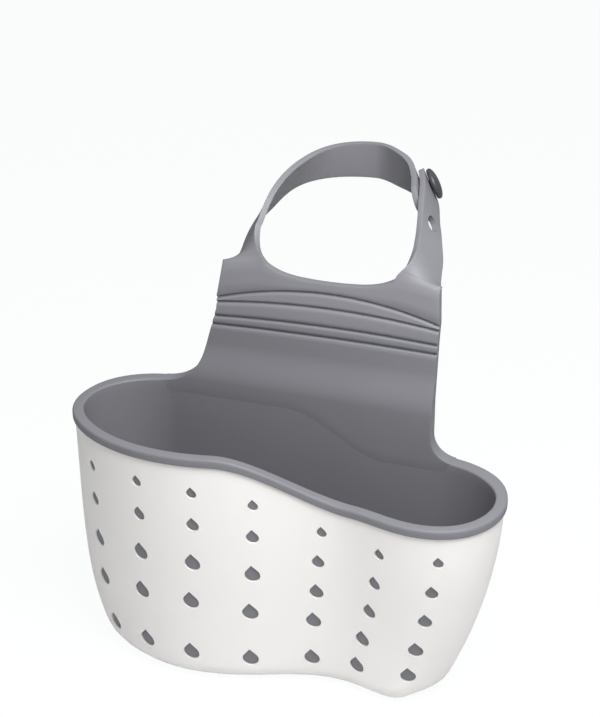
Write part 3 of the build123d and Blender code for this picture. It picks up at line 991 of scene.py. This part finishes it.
class HOLDER_OT_arms(bpy.types.Operator):
    """Models both arms of the loop with their openings"""

    bl_idname = "holder.arms"
    bl_label = "Arms"

    def execute(self, context):
        looks = context.scene.holder_looks
        rubber = bpy.data.materials["moulded_silicone_rubber"]
        back, front = arm_grid(np.linspace(ARM_START, ARM_END, RIGHT_STEPS), ARM_CELLS, ARM_GROW)
        back, front = round_tip(back, front)
        cells = np.ones((len(back) - 1, ARM_CELLS), bool)
        right = slab("right_arm", back, front, cells, looks.edge_round / MM)
        cutters = [arm_cutter(SNAP_SHARE, STEM_HOLE, 0, 0), arm_cutter(SPARE_SHARE, SPARE_HOLE, 0, 0)]
        cut_away(right, cutters)
        finish_piece(right, rubber, 40)
        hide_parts("right_strap")
        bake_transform(right)

        # The left arm is the right one's mirror image as far as the back of the column
        mirror = np.array([-1, 1, 1])
        outer = arm_grid(np.linspace(ARM_START, LEFT_OUTER_END, LEFT_STEPS), ARM_CELLS, ARM_GROW)
        back, front = [
            bridged(grid[:, ::-1] * mirror, under) for grid, under in zip(outer, under_layer())
        ]
        back, front = round_tip(back, front)
        cells = np.ones((len(back) - 1, ARM_CELLS), bool)
        left = slab("left_arm", back, front, cells, looks.edge_round / MM)
        cut_away(left, [arm_cutter(SNAP_SHARE, STEM_HOLE, -LAYER_STEP, SLOT_LENGTH)])
        finish_piece(left, rubber, 40)
        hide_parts("left_strap")
        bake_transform(left)
        return {"FINISHED"}


def arm_frame(share):
    """Matrix, in metres, that sets a piece made along Z square on the right arm at this share."""
    center, facing, sideways, _, _ = sections([share])
    along = np.cross(facing[0], sideways[0])
    turned = Matrix([list(sideways[0]), list(along), list(facing[0])]).transposed().to_4x4()
    return Matrix.Translation(Vector(center[0] * MM)) @ turned


def arm_cutter(share, radius, depth, slot):
    """Round or long cutter through the arm at this share, for the button's stem."""
    bpy.ops.mesh.primitive_cylinder_add(vertices=32, radius=radius * MM, depth=4.6 * MM)
    cutter = bpy.context.object
    if slot:
        for vertex in cutter.data.vertices:
            if vertex.co.y > 0:
                vertex.co.y += slot * MM
    cutter.data.transform(arm_frame(share) @ Matrix.Translation((0, 0, depth * MM)))
    return cutter


class HOLDER_OT_button(bpy.types.Operator):
    """Models the snap button with its domed cap"""

    bl_idname = "holder.button"
    bl_label = "Snap button"

    def execute(self, context):
        # Button's half outline: out from the axis, and along it from the arm's middle
        outline = [(0, -4.0), (1.5, -4.0), (1.9, -3.6), (1.9, 1.15), (2.2, 1.35), (5.0, 1.4), (5.6, 1.55)]
        outline += [(6.0, 1.95), (6.15, 2.5), (6.05, 3.0), (5.7, 3.4), (5.1, 3.75), (4.1, 4.1)]
        outline += [(2.8, 4.4), (1.4, 4.55), (0, 4.6)]
        edges = [(i, i + 1) for i in range(len(outline) - 1)]
        button = new_piece("snap_cap", [(x, 0, z) for x, z in outline], [], edges)
        bpy.ops.object.mode_set(mode="EDIT")
        bpy.ops.mesh.select_all(action="SELECT")
        bpy.ops.mesh.spin(steps=64, angle=2 * math.pi, center=(0, 0, 0), axis=(0, 0, 1))
        bpy.ops.mesh.select_all(action="SELECT")
        bpy.ops.mesh.remove_doubles(threshold=0.01 * MM)
        bpy.ops.object.mode_set(mode="OBJECT")
        button.data.transform(arm_frame(SNAP_SHARE))
        looks = context.scene.holder_looks
        # Acetal button, injection moulded: smooth and a little glossy, so its edge takes a highlight
        # Its colour carries painted shade as well: darker than the button's own grey, for the cap's shaded
        # underside
        cap = moulded(
            "acetal_darkened_for_painted_shade",
            looks.cap,
            roughness=0.34,
            ior=1.48,
            grain=0.5,
            depth=0.004,
            shade=0.03,
        )
        finish_piece(button, cap, 30)
        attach(button, "snap_button")
        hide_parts("snap_button")
        return {"FINISHED"}


class HOLDER_OT_stage(bpy.types.Operator):
    """Sets the floor, the lamps, the background and the camera"""

    bl_idname = "holder.stage"
    bl_label = "Stage"

    def execute(self, context):
        looks = context.scene.holder_looks
        scene = context.scene
        scene.view_settings.view_transform = "Standard"
        bpy.ops.object.select_all(action="DESELECT")
        bpy.ops.mesh.primitive_plane_add(size=looks.floor_size)
        floor = context.object
        floor.name = "studio_floor"
        painted = bpy.data.materials.new("painted_board")
        painted.use_nodes = True
        tree = painted.node_tree
        tree.nodes.clear()
        ray = node(tree, "ShaderNodeLightPath")
        board = node(
            tree,
            "ShaderNodeBsdfPrincipled",
            {"Base Color": (*to_linear("#d4d5d5"), 1), "Roughness": 0.9},
        )
        glow = node(tree, "ShaderNodeEmission", {"Color": (*to_linear("#fcfdfd"), 1), "Strength": 1.05})
        # The camera sees mostly a white glow, with enough of the board to show the holder's shadow
        part = node(
            tree,
            "ShaderNodeMath",
            {0: ray.outputs["Is Camera Ray"], 1: 0.92},
            operation="MULTIPLY",
        )
        mixed = node(
            tree,
            "ShaderNodeMixShader",
            {0: part.outputs[0], 1: board.outputs["BSDF"], 2: glow.outputs["Emission"]},
        )
        node(tree, "ShaderNodeOutputMaterial", {"Surface": mixed.outputs["Shader"]})
        floor.data.materials.append(painted)

        world = bpy.data.worlds.new("studio")
        scene.world = world
        world.use_nodes = True
        tree = world.node_tree
        tree.nodes.clear()
        ray = node(tree, "ShaderNodeLightPath")
        seen = node(
            tree,
            "ShaderNodeMath",
            {0: ray.outputs["Is Camera Ray"], 1: ray.outputs["Is Transmission Ray"]},
            operation="MAXIMUM",
        )
        soft = node(tree, "ShaderNodeBackground", {"Color": (*to_linear("#f3f5f8"), 1), "Strength": 0.36})
        white = node(tree, "ShaderNodeBackground", {"Color": (*to_linear("#fdffff"), 1), "Strength": 1.0})
        both = node(
            tree,
            "ShaderNodeMixShader",
            {0: seen.outputs[0], 1: soft.outputs["Background"], 2: white.outputs["Background"]},
        )
        node(tree, "ShaderNodeOutputWorld", {"Surface": both.outputs["Shader"]})

        aim = Vector((0, 0, 0.08))
        for name, spot, side, share in LAMPS:
            lamp = bpy.data.lights.new(name, "AREA")
            lamp.size = side
            lamp.energy = looks.key_power * share
            holder = bpy.data.objects.new(name, lamp)
            scene.collection.objects.link(holder)
            holder.location = spot
            holder.rotation_euler = (Vector(spot) - aim).to_track_quat("Z", "Y").to_euler()

        turn, rise, roll = [math.radians(angle) for angle in VIEW_ANGLES]
        away = Vector((math.sin(turn) * math.cos(rise), -math.cos(turn) * math.cos(rise), math.sin(rise)))
        level = Vector((math.cos(turn), math.sin(turn), 0))
        upward = Vector((-math.sin(turn) * math.sin(rise), math.cos(turn) * math.sin(rise), math.cos(rise)))
        across = level * math.cos(roll) + upward * math.sin(roll)
        up = upward * math.cos(roll) - level * math.sin(roll)
        aim_x, aim_y = VIEW_AIM_PIXEL
        shift_x = (aim_x - PICTURE_WIDTH / 2) / VIEW_FOCAL * VIEW_DISTANCE
        shift_y = -(aim_y - PICTURE_HEIGHT / 2) / VIEW_FOCAL * VIEW_DISTANCE
        camera = bpy.data.objects.new("camera", bpy.data.cameras.new("camera"))
        scene.collection.objects.link(camera)
        camera.data.sensor_width = SENSOR
        camera.data.lens = VIEW_FOCAL / PICTURE_HEIGHT * SENSOR
        place = Vector(VIEW_AIM) + away * VIEW_DISTANCE - across * shift_x - up * shift_y
        camera.matrix_world = Matrix.Translation(place) @ Matrix((across, up, away)).transposed().to_4x4()
        scene.camera = camera
        return {"FINISHED"}


class HOLDER_PT_panel(bpy.types.Panel):
    """Shows the holder's settings and a button for each step"""

    bl_label = "Sponge holder"
    bl_idname = "HOLDER_PT_panel"
    bl_space_type = "VIEW_3D"
    bl_region_type = "UI"
    bl_category = "Sponge holder"

    def draw(self, context):
        looks = context.scene.holder_looks
        for name in HolderLooks.__annotations__:
            self.layout.prop(looks, name)
        for operator in STEPS:
            self.layout.operator(operator.bl_idname)


STEPS = (
    HOLDER_OT_stage,
    HOLDER_OT_shell,
    HOLDER_OT_liner,
    HOLDER_OT_drops,
    HOLDER_OT_panel,
    HOLDER_OT_arms,
    HOLDER_OT_button,
)


def register():
    """Makes the settings, the operators and the panel known."""
    bpy.utils.register_class(HolderLooks)
    for operator in STEPS:
        bpy.utils.register_class(operator)
    bpy.utils.register_class(HOLDER_PT_panel)
    bpy.types.Scene.holder_looks = bpy.props.PointerProperty(type=HolderLooks)


def unregister():
    """Takes them away again."""
    del bpy.types.Scene.holder_looks
    bpy.utils.unregister_class(HOLDER_PT_panel)
    for operator in reversed(STEPS):
        bpy.utils.unregister_class(operator)
    bpy.utils.unregister_class(HolderLooks)


def main():
    """Makes the whole scene."""
    register()
    looks = bpy.context.scene.holder_looks
    # Silicone rubber, moulded: matt with a soft sheen and a fine dull grain
    moulded(
        "moulded_silicone_rubber",
        looks.rubber,
        roughness=0.52,
        ior=1.41,
        grain=0.55,
        depth=0.01,
        shade=0.03,
    )
    bpy.ops.holder.stage()
    bpy.ops.holder.shell()
    bpy.ops.holder.liner()
    bpy.ops.holder.drops()
    bpy.ops.holder.panel()
    bpy.ops.holder.arms()
    bpy.ops.holder.button()
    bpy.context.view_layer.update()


if __name__ == "__main__":
    main()
